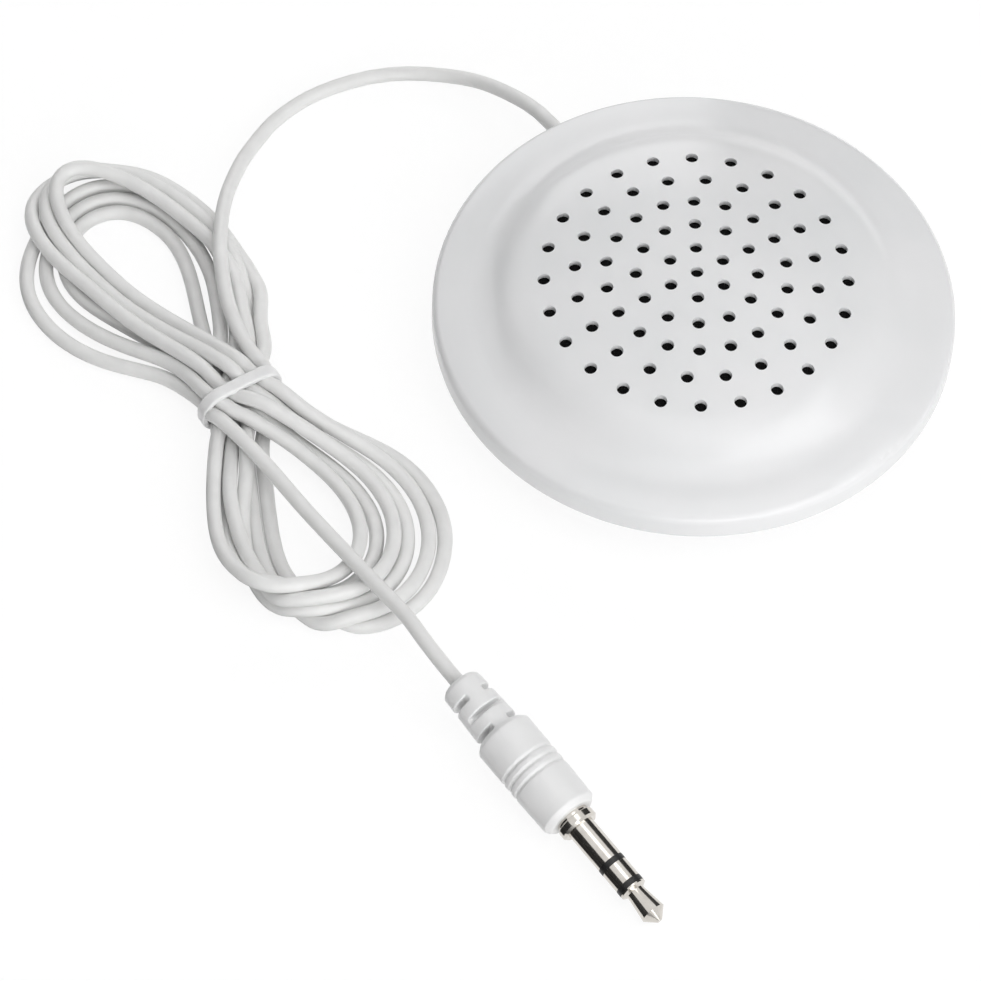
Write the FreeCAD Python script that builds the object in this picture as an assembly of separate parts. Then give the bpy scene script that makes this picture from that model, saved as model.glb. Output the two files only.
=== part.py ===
import FreeCAD, Part
import math
import os

# Round speaker for under a pillow, with its cord and 3.5 mm plug. Millimetres.
# The disc's axis is Z. The origin is the centre of the disc at the surface that it rests on.
# +Y points to the first hole of the outermost ring in the grille.

V = FreeCAD.Vector
UP = V(0, 0, 1)

# Fits and clearances
running_gap = 0.1          # between the rear shell's edge and the skirt round it
locating_gap = 0.2         # round the driver's flange
hub_gap = 0.05             # between the basket and the yoke that it holds
cord_gap = 0.1             # round the cord where it passes a wall or a rib
screw_gap = 0.05           # round a screw's thread in its boss
shank_gap = 0.15           # round a screw's thread in the rear shell
head_gap = 0.25            # round a screw's head in its pocket
stop_gap = 0.2             # round the cord's stop under the front shell
notch_gap = 0.3            # beside a cord's end where it enters the hank

# Heights, from the surface that the disc rests on to the top of the grille
rear_wall = 1.6
pad_height = 1.8
driver_height = 7.5        # from the underside of the yoke to the driver's seat
grille_rise = 4.1          # top of the grille above the driver's seat
yoke_bottom_z = rear_wall + pad_height
seat_z = yoke_bottom_z + driver_height
total_height = seat_z + grille_rise
skirt_bottom_z = 4.4
lip_height = 1.6           # edge of the rear shell inside the skirt
stop_step_z = skirt_bottom_z + lip_height

# Radii, from the driver out to the rim
driver_radius = 22.5
locating_wall = 1.1        # wall that stands round the driver's flange
boss_radius = 2.4
boss_overlap = 0.2         # each boss joins the locating wall
boss_margin = 1.8          # between the bosses and the seat of the rear shell
stop_step = 1.0            # width of the step that the rear shell seats on
skirt_wall = 1.8
screw_circle_r = driver_radius + locating_gap + locating_wall + boss_radius - boss_overlap
step_inner_r = screw_circle_r + boss_radius + boss_margin
skirt_inner_r = step_inner_r + stop_step
disc_radius = skirt_inner_r + skirt_wall

# Outer form of the front shell
dome_radius = 104.0        # the grille is a shallow part of this sphere
dome_inset = 2.0           # the dome turns into the shoulder this far inside the driver's edge
dome_edge_r = driver_radius - dome_inset
shoulder_radius = 10.0
shoulder_slope = 38.0      # steepest slope of the shoulder, in degrees
valley_radius = 9.0        # hollow curve from the shoulder to the flange
flange_slope = 8.0         # slope where the flange begins
flange_radius = 18.0       # the flange rounds down to the rim
rim_radius = 1.2           # rolled upper edge of the rim
rim_lower_radius = 0.8
beyond_slope = 45.0        # the flange's arc is drawn to this slope, which is past the rim
shell_wall = 1.7
grille_wall = 0.75

# Driver's seat under the grille
seat_width = 2.2
seat_inner_r = driver_radius - seat_width
locating_depth = 1.6       # the locating wall below the seat

# Grille holes: one in the middle and rings at equal steps out to the seat
hole_diameter = 1.6
hole_margin = 1.2          # from the middle of the outermost holes to the seat
ring_counts = [6, 12, 18, 20, 24]
ring_turns = [0.0, 0.0, 0.0, -6.0, 0.0]
ring_pitch = (seat_inner_r - hole_margin) / len(ring_counts)

# Rear shell
rear_run = 11.0            # from the rim in to the flat face that the disc rests on
base_radius = disc_radius - rear_run
rear_bend_radius = 8.0
rear_slope = 40.0

# Screws and their bosses
screw_count = 3
screw_first_angle = 60.0
screw_diameter = 2.0
screw_length = 5.5
screw_head_diameter = 3.7
screw_head_height = 1.3
screw_head_rounding = 0.65
screw_point = 0.6          # taper at the screw's end
screw_recess_width = 0.55
screw_recess_span = 2.2
screw_recess_depth = 0.8
screw_tip_room = 0.4
clamp_height = 2.9         # rear shell between a screw's head and the front boss
boss_rise = 0.2            # the bosses meet this far above the step
rear_boss_radius = 2.95
boss_joint_z = stop_step_z + boss_rise
screw_seat_z = boss_joint_z - clamp_height

# Driver
gasket_height = 0.55
gasket_width = 2.0
film = 0.15                # thickness of the diaphragm
flange_top_z = seat_z - gasket_height - film
edge_ring_width = 2.3      # flat edge of the diaphragm under the gasket
edge_gap = 0.1             # from the diaphragm's edge to the edge of the basket
roll_radius = 1.1
cone_depth = 1.6           # seat of the coil below the basket's flange
coil_seat_z = flange_top_z - cone_depth
centre_dome_rise = 1.3
coil_inner_r = 6.75
coil_wall = 0.55
coil_outer_r = coil_inner_r + coil_wall
seat_overhang = 0.3        # the diaphragm's seat is wider than the coil on each side
coil_seat_r = coil_outer_r + seat_overhang
coil_seat_inner_r = coil_inner_r - seat_overhang
coil_gap = 0.4             # from the coil to the metal on each side of it
coil_floor_gap = 0.8       # from the coil to the floor of the yoke
yoke_wall = 0.9
yoke_floor = 1.0
yoke_inner_r = coil_outer_r + coil_gap
yoke_outer_r = yoke_inner_r + yoke_wall
plate_radius = coil_inner_r - coil_gap
plate_height = 0.8
plate_overhang = 0.15
magnet_radius = plate_radius - plate_overhang
magnet_height = 2.0
plate_bottom_z = yoke_bottom_z + yoke_floor + magnet_height
basket_sheet = 0.8
basket_rise = 2.0          # floor of the basket above the underside of the yoke
basket_flange = 2.5
basket_run = 5.0           # width of the basket's sloping wall
basket_lip = 0.4           # short upright under the flange
basket_floor_z = yoke_bottom_z + basket_rise
basket_wall_r = driver_radius - basket_flange
basket_floor_r = basket_wall_r - basket_run
vent_margin = 1.6          # sheet left inside and outside the vents
vent_spacing = 60.0
pad_inset = 0.6
screen_thickness = 0.25
screen_margin = 0.3

# Terminal board and inner wires
board_length = 7.0
board_width = 4.2
board_thickness = 0.8
board_gap = 1.3            # from the yoke to the board
board_corner = 0.6
board_inner_r = yoke_outer_r + board_gap
board_bottom_z = basket_floor_z - board_thickness
solder_radius = 1.0
solder_inset = 2.7         # from the board's inner edge to the solder
solder_offset = 1.7
solder_at_r = board_inner_r + solder_inset
wire_diameter = 0.8
wire_offset = 0.5          # each wire from the cord's axis where it leaves the stop
wire_spread = 1.1
wire_first_run = 2.2
wire_sag = 1.2             # lowest run of each wire below the terminal board
wire_end = 0.5             # end of each wire below the terminal board

# Cord and its way out of the disc
cord_diameter = 1.9
exit_angle = 120.0
rib_offset = 1.2           # from the screw circle to the rib
rib_inner_r = screw_circle_r + rib_offset
rib_thickness = 1.2
rib_width = 7.0
rib_cover = 0.8            # rib above the cord's axis
stop_diameter = 3.0
stop_length = 2.2
stop_chamfer = 0.3

# Free stretch of the cord, from the stop inside the disc to the hank
lead_route = [
    (-13.6, 23.556, 6.4), (-17.75, 30.744, 6.4), (-23.2, 37.0, 3.6), (-28.3, 41.1, 1.2),
    (-38.3, 42.1, 0.96), (-47.7, 38.7, 0.96), (-53.1, 34.1, 0.96), (-58.0, 26.1, 0.96),
    (-60.2, 17.7, 0.96)]
exit_z = lead_route[0][2]
# Short stretch from the hank, which ends in a straight run behind the plug
tail_start = [(-38.4, -41.2, 3.6), (-36.1, -46.2, 5.9)]
tail_straight = 5.0

# Outer shape of the tied hank: two loops that meet at the waist, seen from above
hank_height = 4.6
hank_edge = 1.3
hank_outline = [
    (-53.4, -5.6), (-53.6, 0.2), (-54.4, 5.6), (-56.4, 11.6), (-58.9, 17.8), (-64.0, 22.8),
    (-70.8, 25.4), (-77.6, 26.3), (-82.8, 25.0), (-85.4, 20.4), (-85.0, 15.4), (-85.6, 9.6),
    (-84.0, 2.6), (-79.2, -2.8), (-72.8, -6.2), (-66.6, -9.8), (-62.0, -13.2), (-61.2, -19.6),
    (-61.3, -26.0), (-60.8, -32.8), (-58.0, -38.8), (-52.6, -42.6), (-46.2, -44.6),
    (-40.2, -44.4), (-34.8, -41.6), (-31.0, -36.4), (-30.0, -30.0), (-32.0, -23.6),
    (-36.4, -18.2), (-42.4, -14.2), (-49.0, -11.4)]
upper_window = [
    (-64.0, 2.6), (-65.0, 9.2), (-67.8, 15.2), (-72.4, 18.0), (-76.4, 16.6), (-75.2, 12.4),
    (-70.8, 7.8)]
lower_window = [
    (-52.6, -19.6), (-48.0, -21.6), (-44.0, -26.4), (-42.6, -31.4), (-45.0, -36.0),
    (-49.0, -35.8), (-51.8, -31.4), (-52.8, -25.4)]

# Tie round the waist of the hank
tie_centre = (-57.1, -11.4)
tie_angle = 31.7           # direction across the bundle
tie_inside_width = 10.2
tie_inside_height = 5.4
tie_thickness = 0.7
tie_band = 1.7
tie_corner = 2.4
tie_edge = 0.25
waist_length = 8.0         # stretch of the bundle that the tie draws up

# Plug: its overmould has a body and a slotted strain relief behind it
plug_rear = (-30.03, -55.43)
plug_heading = -51.7       # way the plug points, seen from above
body_diameter = 7.6
body_front_diameter = 7.4
body_length = 13.9
body_edge = 0.7
grip_first = 5.15
grip_pitch = 1.2
grip_count = 3
grip_width = 0.45
grip_depth = 0.22
relief_length = 8.0
relief_tip_diameter = 5.3
relief_root_diameter = 6.0
relief_edge = 0.5
relief_roll = 1.5          # turn of the slots about the plug's axis
slot_width = 0.76
slot_core = 1.1            # what stays each side of the axis under a slot
slot_places = [2.42, 4.84, 7.24]

# Plug contacts, along the axis from the front of the overmould
contact_diameter = 3.5
collar_diameter = 5.0
collar_length = 1.25
collar_step_diameter = 4.4
collar_step_length = 0.5
sleeve_length = 5.6
insulator_length = 0.8
ring_length = 2.6
flare_length = 0.55
neck_diameter = 2.4
tip_neck_length = 0.4
tip_widest_diameter = 3.2
tip_taper_length = 3.0
tip_cone_length = 1.25
tip_end_diameter = 0.7
tip_land = 0.22            # full width at the tip's base
collar_edge = 0.3
collar_back_edge = 0.15
sleeve_bore = 2.7
ring_bore = 1.6
rod_diameter = 0.9
ring_tube_diameter = 2.0
sleeve_tail = 2.5          # how far each contact runs back inside the overmould
ring_tail = 4.0
tip_tail = 5.5


def polar(radius, degrees, z=0.0):
    turn = math.radians(degrees)
    return V(radius * math.cos(turn), radius * math.sin(turn), z)


def revolve(points):
    """Turn a closed outline of (radius, height) points about Z."""
    corners = [V(r, 0, z) for r, z in points]
    face = Part.Face(Part.makePolygon(corners + corners[:1]))
    return face.revolve(V(0, 0, 0), UP, 360)


def revolve_edges(edges):
    """Turn a closed outline of edges in the XZ plane about Z."""
    return Part.Face(Part.Wire(edges)).revolve(V(0, 0, 0), UP, 360)


def line(a, b):
    return Part.LineSegment(a, b).toShape()


def arc(a, b, c):
    return Part.Arc(a, b, c).toShape()


def ring(inner, outer, low, high):
    return revolve([(inner, low), (outer, low), (outer, high), (inner, high)])


def save(shape, name):
    shape.exportStep("parts/%s.step" % name)
    print("%-22s solids %d  volume %9.2f  valid %s" % (
        name, len(shape.Solids), shape.Volume, shape.isValid()))


def rounded_path(points):
    """Straight runs joined by tangent arcs; each arc is as large as its two runs allow."""
    points = [V(*p) for p in points]
    edges = []
    radii = []
    start = points[0]
    for before, corner, after in zip(points, points[1:], points[2:]):
        towards = (before - corner).normalize()
        onwards = (after - corner).normalize()
        half_turn = (math.pi - towards.getAngle(onwards)) / 2
        reach = 0.45 * min((before - corner).Length, (after - corner).Length)
        radius = reach / math.tan(half_turn)
        first = corner + towards * reach
        last = corner + onwards * reach
        bisector = (towards + onwards).normalize()
        middle = corner + bisector * (radius / math.cos(half_turn) - radius)
        edges.append(line(start, first))
        edges.append(arc(first, middle, last))
        radii.append(radius)
        start = last
    edges.append(line(start, points[-1]))
    return Part.Wire(edges), radii


def tube(points, diameter, name):
    """Round cord along a route, with its volume compared with section times length."""
    path, radii = rounded_path(points)
    direction = (V(*points[1]) - V(*points[0])).normalize()
    circle = Part.Circle(V(*points[0]), direction, diameter / 2).toShape()
    solid = path.makePipeShell([Part.Wire([circle])], True, False)
    expected = math.pi * diameter ** 2 / 4 * path.Length
    print("%s: length %.1f mm, radii %s, volume over section times length %.4f" % (
        name, path.Length, " ".join("%.1f" % r for r in radii), solid.Volume / expected))
    return solid


def rounded_loop(points):
    """Closed outline of straight runs and tangent arcs, flat in the XY plane."""
    count = len(points)
    corners = [V(x, y, 0) for x, y in points]
    arcs = []
    for i, corner in enumerate(corners):
        before = corners[i - 1]
        after = corners[(i + 1) % count]
        towards = (before - corner).normalize()
        onwards = (after - corner).normalize()
        half_turn = (math.pi - towards.getAngle(onwards)) / 2
        reach = 0.45 * min((before - corner).Length, (after - corner).Length)
        radius = reach / math.tan(half_turn)
        bisector = (towards + onwards).normalize()
        middle = corner + bisector * (radius / math.cos(half_turn) - radius)
        arcs.append((corner + towards * reach, middle, corner + onwards * reach))
    edges = []
    for i, (first, middle, last) in enumerate(arcs):
        edges.append(arc(first, middle, last))
        edges.append(line(last, arcs[(i + 1) % count][0]))
    return Part.Wire(edges)


# Section of the top surface. A depth of 0 gives the outside, and a wall gives the inside.

def top_section(depth):
    """Arcs of the dome, shoulder, valley and flange to past the rim, and the flange's centre."""
    dome_turn = math.asin(dome_edge_r / dome_radius)
    steep = math.radians(shoulder_slope)
    shallow = math.radians(flange_slope)
    dome_centre = V(0, 0, total_height - dome_radius)

    def normal(turn):
        return V(math.sin(turn), 0, math.cos(turn))

    def on_dome(turn):
        return dome_centre + normal(turn) * (dome_radius - depth)

    shoulder_centre = dome_centre + normal(dome_turn) * (dome_radius - shoulder_radius)

    def on_shoulder(turn):
        return shoulder_centre + normal(turn) * (shoulder_radius - depth)

    valley_centre = shoulder_centre + normal(steep) * (shoulder_radius + valley_radius)

    def on_valley(turn):
        return valley_centre - normal(turn) * (valley_radius + depth)

    flange_centre = valley_centre - normal(shallow) * (valley_radius + flange_radius)

    def on_flange(turn):
        return flange_centre + normal(turn) * (flange_radius - depth)

    steepest = math.radians(beyond_slope)
    edges = [
        arc(on_dome(0), on_dome(dome_turn / 2), on_dome(dome_turn)),
        arc(on_shoulder(dome_turn), on_shoulder((dome_turn + steep) / 2), on_shoulder(steep)),
        arc(on_valley(steep), on_valley((steep + shallow) / 2), on_valley(shallow)),
        arc(on_flange(shallow), on_flange((shallow + steepest) / 2), on_flange(steepest))]
    return edges, flange_centre


def under_top(depth):
    """Solid below the top surface at a depth, wider and deeper than the disc."""
    edges = top_section(depth)[0]
    axis_top = edges[0].Vertexes[0].Point
    beyond = edges[-1].Vertexes[-1].Point
    bottom = -disc_radius
    edges.append(line(beyond, V(beyond.x, 0, bottom)))
    edges.append(line(V(beyond.x, 0, bottom), V(0, 0, bottom)))
    edges.append(line(V(0, 0, bottom), axis_top))
    return revolve_edges(edges)


def outer_body():
    """Solid inside the outer surface of the front shell, down to the skirt's edge."""
    edges, flange_centre = top_section(0)
    edges.pop()
    rim_x = disc_radius - rim_radius
    reach = flange_radius - rim_radius
    rim_turn = math.asin((rim_x - flange_centre.x) / reach)
    rim_centre = V(rim_x, 0, flange_centre.z + reach * math.cos(rim_turn))
    low_centre = V(disc_radius - rim_lower_radius, 0, skirt_bottom_z + rim_lower_radius)

    def on(centre, radius, turn):
        return centre + V(math.sin(turn), 0, math.cos(turn)) * radius

    level = math.pi / 2
    shallow = math.radians(flange_slope)
    edges.append(arc(*[
        on(flange_centre, flange_radius, turn)
        for turn in (shallow, (shallow + rim_turn) / 2, rim_turn)]))
    edges.append(arc(*[
        on(rim_centre, rim_radius, turn)
        for turn in (rim_turn, (rim_turn + level) / 2, level)]))
    edges.append(line(on(rim_centre, rim_radius, level), on(low_centre, rim_lower_radius, level)))
    edges.append(arc(*[
        on(low_centre, rim_lower_radius, turn)
        for turn in (level, 1.5 * level, 2 * level)]))
    foot = V(low_centre.x, 0, skirt_bottom_z)
    edges.append(line(foot, V(0, 0, skirt_bottom_z)))
    edges.append(line(V(0, 0, skirt_bottom_z), V(0, 0, total_height)))
    return revolve_edges(edges)


def cylinder(radius, low, high, at=V(0, 0, 0)):
    return Part.makeCylinder(radius, high - low, at + V(0, 0, low))


def screw_places():
    for i in range(screw_count):
        yield polar(screw_circle_r, screw_first_angle + i * 360.0 / screw_count)


def cord_bore(radius):
    """Cylinder along the cord where it leaves the disc."""
    direction = polar(1, exit_angle)
    return Part.makeCylinder(radius, disc_radius, direction * rib_inner_r + V(0, 0, exit_z), direction)


def stop_room():
    """Space round the cord's stop."""
    direction = polar(1, exit_angle)
    start = direction * (rib_inner_r - stop_length - stop_gap) + V(0, 0, exit_z)
    return Part.makeCylinder(
        stop_diameter / 2 + stop_gap, stop_length + stop_gap, start, direction)


def grille_holes():
    radius = hole_diameter / 2
    places = [V(0, 0, 0)]
    for k, count in enumerate(ring_counts):
        for i in range(count):
            angle = 90 + ring_turns[k] + i * 360.0 / count
            places.append(polar((k + 1) * ring_pitch, angle))
    depth = 4 * grille_wall
    solids = []
    for place in places:
        sag = dome_radius - math.sqrt(dome_radius ** 2 - place.Length ** 2)
        middle = total_height - sag
        solids.append(cylinder(radius, middle - depth, middle + grille_wall, place))
    return Part.makeCompound(solids)


def make_front_shell():
    outside = outer_body()
    hollow = under_top(shell_wall).common(
        cylinder(step_inner_r, stop_step_z, total_height))
    hollow = hollow.fuse(cylinder(skirt_inner_r, skirt_bottom_z - 1, stop_step_z))
    thin = under_top(grille_wall).common(cylinder(seat_inner_r, seat_z, total_height))
    shell = outside.cut(hollow).cut(thin)

    locating_r = driver_radius + locating_gap
    seat = ring(seat_inner_r, locating_r, seat_z, total_height)
    locating_bottom_z = seat_z - locating_depth
    locator = ring(locating_r, locating_r + locating_wall, locating_bottom_z, total_height)
    additions = [seat.common(outside), locator.common(outside)]
    for place in screw_places():
        additions.append(cylinder(boss_radius, boss_joint_z, total_height, place).common(outside))
    shell = shell.fuse(additions).cut(cylinder(locating_r, 0, seat_z))
    bore_top_z = screw_seat_z + screw_length + screw_tip_room
    for place in screw_places():
        shell = shell.cut(cylinder(screw_diameter / 2 + screw_gap, 0, bore_top_z, place))
    shell = shell.cut(cord_bore(cord_diameter / 2 + cord_gap)).cut(stop_room())
    return shell.cut(grille_holes()).removeSplitter()


def rear_section(depth, top):
    """Corners and edges of the dish, from the axis out to its sloping side."""
    steep = math.radians(rear_slope)
    centre = V(base_radius, 0, rear_bend_radius)
    radius = rear_bend_radius - depth

    def on_bend(turn):
        return centre + V(math.sin(turn), 0, -math.cos(turn)) * radius

    foot = on_bend(0)
    bend_end = on_bend(steep)
    side_r = bend_end.x + (top - bend_end.z) / math.tan(steep)
    side_top = V(side_r, 0, top)
    return [
        line(V(0, 0, depth), foot),
        arc(foot, on_bend(steep / 2), bend_end),
        line(bend_end, side_top)]


def rear_solid(depth, top):
    edges = rear_section(depth, top)
    side_top = edges[-1].Vertexes[-1].Point
    edges.append(line(side_top, V(0, 0, top)))
    edges.append(line(V(0, 0, top), V(0, 0, depth)))
    return revolve_edges(edges)


def make_rear_shell():
    lip_r = skirt_inner_r - running_gap
    outside = rear_solid(0, skirt_bottom_z).fuse(cylinder(lip_r, skirt_bottom_z, stop_step_z))
    shell = outside.cut(rear_solid(rear_wall, stop_step_z))
    tall = rear_solid(0, skirt_bottom_z).fuse(cylinder(lip_r, skirt_bottom_z, boss_joint_z))
    for place in screw_places():
        shell = shell.fuse(cylinder(rear_boss_radius, 0, boss_joint_z, place).common(tall))
    shell = shell.fuse(make_rib())
    for place in screw_places():
        pocket_r = screw_head_diameter / 2 + head_gap
        shell = shell.cut(cylinder(pocket_r, -1, screw_seat_z, place))
        shank = cylinder(screw_diameter / 2 + shank_gap, 0, total_height, place)
        shell = shell.cut(shank)
    return shell.cut(cord_bore(cord_diameter / 2 + cord_gap)).removeSplitter()


def make_rib():
    """Slotted rib that the cord passes through and that its stop bears on."""
    rib_top_z = exit_z + rib_cover
    rib = Part.makeBox(rib_thickness, rib_width, rib_top_z, V(rib_inner_r, -rib_width / 2, 0))
    slot_r = cord_diameter / 2 + cord_gap
    slot = Part.makeBox(
        rib_thickness, 2 * slot_r, rib_top_z, V(rib_inner_r, -slot_r, exit_z))
    rib = rib.cut(slot)
    rib.rotate(V(0, 0, 0), UP, exit_angle)
    return rib.common(rear_solid(0, rib_top_z))


def round_edges(shape):
    """Full circles of a shape from the lowest to the highest."""
    circles = [e for e in shape.Edges if e.isClosed()]
    return sorted(circles, key=lambda e: e.CenterOfMass.z)


def make_screws():
    """Pan-head self-tapping screws with a cross recess, heads down."""
    screws = []
    for place in screw_places():
        head_low = screw_seat_z - screw_head_height
        head = cylinder(screw_head_diameter / 2, head_low, screw_seat_z, place)
        head = head.makeFillet(screw_head_rounding, [round_edges(head)[0]])
        for turn in (0, 90):
            bar = Part.makeBox(
                screw_recess_span, screw_recess_width, screw_recess_depth,
                place + V(-screw_recess_span / 2, -screw_recess_width / 2, head_low))
            bar.rotate(place, UP, turn)
            head = head.cut(bar)
        shaft = cylinder(screw_diameter / 2, screw_seat_z, screw_seat_z + screw_length, place)
        shaft = shaft.makeChamfer(screw_point, [round_edges(shaft)[-1]])
        screws.append(head.fuse(shaft).removeSplitter())
    return Part.makeCompound(screws)


def make_dust_screen():
    cap = under_top(grille_wall).cut(under_top(grille_wall + screen_thickness))
    return cap.common(cylinder(seat_inner_r - screen_margin, seat_z, total_height))


def make_gasket():
    outer = driver_radius
    return ring(outer - gasket_width, outer, seat_z - gasket_height, seat_z)


def make_diaphragm():
    """Film with a flat edge, a half-round roll, a shallow cone, a coil seat and a dome."""
    low = flange_top_z
    edge_outer = driver_radius - edge_gap
    roll_outer = edge_outer - edge_ring_width
    roll_centre = roll_outer - roll_radius
    roll_inner = roll_centre - roll_radius
    sphere = (coil_seat_inner_r ** 2 + centre_dome_rise ** 2) / (2 * centre_dome_rise)
    half = math.asin(coil_seat_inner_r / sphere) / 2

    def skin(lift):
        """Corners of the film's lower face, or of its upper face one film higher."""
        inset = film - lift
        z = low + lift
        seat = coil_seat_z - inset
        return [
            V(edge_outer, 0, z), V(roll_outer - inset, 0, z),
            V(roll_centre, 0, low + roll_radius + lift), V(roll_inner + inset, 0, z),
            V(coil_seat_r, 0, seat), V(coil_seat_inner_r, 0, seat),
            V(sphere * math.sin(half), 0, seat + centre_dome_rise - sphere * (1 - math.cos(half))),
            V(0, 0, seat + centre_dome_rise)]

    def solid_under(corners):
        edge, outer, roll_top, inner, seat_outer, seat_inner, dome_side, dome_top = corners
        bottom = low - driver_radius
        return revolve_edges([
            line(V(0, 0, bottom), V(edge_outer, 0, bottom)), line(V(edge_outer, 0, bottom), edge),
            line(edge, outer), arc(outer, roll_top, inner), line(inner, seat_outer),
            line(seat_outer, seat_inner), arc(seat_inner, dome_side, dome_top),
            line(dome_top, V(0, 0, bottom))])

    return solid_under(skin(film)).cut(solid_under(skin(0)))


def make_voice_coil():
    bottom = yoke_bottom_z + yoke_floor + coil_floor_gap
    return ring(coil_inner_r, coil_outer_r, bottom, coil_seat_z - film)


def make_basket():
    """Pressed frame: floor round the yoke, sloping wall, flange, and vents in the floor."""
    top = flange_top_z
    sheet = basket_sheet
    bore = yoke_outer_r + hub_gap
    slant = basket_sheet * 0.4
    frame = revolve([
        (bore, basket_floor_z), (basket_floor_r, basket_floor_z),
        (basket_wall_r, top - sheet - basket_lip), (basket_wall_r, top - sheet),
        (driver_radius, top - sheet), (driver_radius, top),
        (basket_wall_r - sheet, top), (basket_wall_r - sheet, top - sheet),
        (basket_floor_r - slant, basket_floor_z + sheet), (bore, basket_floor_z + sheet)])
    vent_circle_r = (yoke_outer_r + basket_floor_r) / 2
    vent_radius = (basket_floor_r - yoke_outer_r) / 2 - vent_margin
    for i in range(1, int(360 / vent_spacing)):
        place = polar(vent_circle_r, exit_angle + i * vent_spacing)
        frame = frame.cut(cylinder(vent_radius, 0, total_height, place))
    return frame


def make_yoke():
    top = plate_bottom_z + plate_height
    pot = cylinder(yoke_outer_r, yoke_bottom_z, top)
    return pot.cut(cylinder(yoke_inner_r, yoke_bottom_z + yoke_floor, top))


def make_magnet():
    return cylinder(magnet_radius, yoke_bottom_z + yoke_floor, plate_bottom_z)


def make_pole_plate():
    return cylinder(plate_radius, plate_bottom_z, plate_bottom_z + plate_height)


def make_damping_pad():
    return cylinder(yoke_outer_r - pad_inset, rear_wall, yoke_bottom_z)


def beside_exit(r, side, z):
    """Point at a radius under the cord's exit line, moved sideways."""
    along = polar(1, exit_angle)
    across = polar(1, exit_angle + 90)
    return along * r + across * side + V(0, 0, z)


def make_board():
    corner = V(board_inner_r, -board_length / 2, board_bottom_z)
    board = Part.makeBox(board_width, board_length, board_thickness, corner)
    uprights = [e for e in board.Edges if abs(e.tangentAt(e.FirstParameter).z) > 0.9]
    board = board.makeFillet(board_corner, uprights)
    board.rotate(V(0, 0, 0), UP, exit_angle)
    return board


def wire_route(side):
    """Inner wire from the cord's stop to its solder joint, straight out of the stop."""
    start_r = rib_inner_r - stop_length
    near = side * wire_offset
    far = side * solder_offset
    sag_z = board_bottom_z - wire_sag
    return [
        tuple(beside_exit(start_r, near, exit_z)),
        tuple(beside_exit(start_r - wire_first_run, near, exit_z)),
        tuple(beside_exit(start_r - 2.6 * wire_first_run, side * wire_spread, sag_z)),
        tuple(beside_exit(solder_at_r + wire_first_run, far, sag_z)),
        tuple(beside_exit(solder_at_r, far, board_bottom_z - wire_end))]


def make_wire(side, name):
    return tube(wire_route(side), wire_diameter, name)


def make_solder():
    beads = []
    for side in (-1, 1):
        at = beside_exit(solder_at_r, side * solder_offset, board_bottom_z)
        bead = Part.makeSphere(solder_radius, at).common(cylinder(disc_radius, 0, board_bottom_z))
        beads.append(bead.cut(make_wire(side, "wire in its solder")))
    return Part.makeCompound(beads)


def make_cord_stop():
    direction = polar(1, exit_angle)
    start = direction * (rib_inner_r - stop_length) + V(0, 0, exit_z)
    stop = Part.makeCylinder(stop_diameter / 2, stop_length, start, direction)
    return stop.makeChamfer(stop_chamfer, round_edges(stop))


def end_notch(route):
    """Block with a flat face at a cord's last point, open upwards and outwards."""
    last = V(*route[-1])
    outwards = (V(*route[-2]) - last).normalize()
    reach = cord_diameter / 2 + notch_gap
    block = Part.makeBox(2 * reach, reach + hank_height, 6 * cord_diameter, V(-reach, -reach, 0))
    block.Placement = FreeCAD.Placement(last, FreeCAD.Rotation(V(), UP, outwards, "ZYX"))
    return block


def tie_block(width, height, low, length, corner):
    """Bar along the bundle at its waist, with rounded corners in section."""
    bar = Part.makeBox(width, length, height, V(-width / 2, -length / 2, low))
    lengthwise = [e for e in bar.Edges if abs(e.tangentAt(e.FirstParameter).y) > 0.9]
    bar = bar.makeFillet(corner, lengthwise)
    bar.rotate(V(0, 0, 0), UP, tie_angle)
    bar.translate(V(tie_centre[0], tie_centre[1], 0))
    return bar


def tie_inside(length):
    return tie_block(tie_inside_width, tie_inside_height, tie_thickness, length, tie_corner)


def make_tie():
    outside = tie_block(
        tie_inside_width + 2 * tie_thickness, tie_inside_height + 2 * tie_thickness, 0,
        tie_band, tie_corner + tie_thickness)
    along = polar(1, tie_angle + 90)
    ends = [f for f in outside.Faces if abs(f.normalAt(0, 0).dot(along)) > 0.9]
    rims = [e for f in ends for e in f.Edges]
    return outside.makeFillet(tie_edge, rims).cut(tie_inside(2 * tie_band))


def make_hank():
    """Figure-eight bundle with its two windows, drawn in at the waist under the tie."""
    height = V(0, 0, hank_height)
    hank = Part.Face(rounded_loop(hank_outline)).extrude(height)
    for window in (upper_window, lower_window):
        hank = hank.cut(Part.Face(rounded_loop(window)).extrude(height))
    top = [e for e in hank.Edges if abs(e.BoundBox.ZMin - hank_height) < 1e-6]
    hank = hank.makeFillet(hank_edge, top).fuse(tie_inside(waist_length))
    groove = tie_block(4 * tie_inside_width, 4 * hank_height, -hank_height, tie_band, notch_gap)
    hank = hank.cut(groove.cut(tie_inside(2 * tie_band)))
    return hank.cut(end_notch(lead_route)).cut(end_notch(tail_route()[::-1]))


def plug_line():
    """Rear end and direction of the plug, which rests on its tip and its body's front edge."""
    edge = body_length - body_edge
    widest = contact_stations()[4] + flare_length + tip_neck_length + tip_taper_length
    edge_r = body_front_diameter / 2
    lean = math.atan2(edge_r - tip_widest_diameter / 2, widest - edge)
    height = edge_r * math.cos(lean) + (relief_length + edge) * math.sin(lean)
    flat = polar(math.cos(lean), plug_heading)
    return V(plug_rear[0], plug_rear[1], height), V(flat.x, flat.y, -math.sin(lean))


def tail_route():
    end, along = plug_line()
    return tail_start + [tuple(end - along * tail_straight), tuple(end)]


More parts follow.
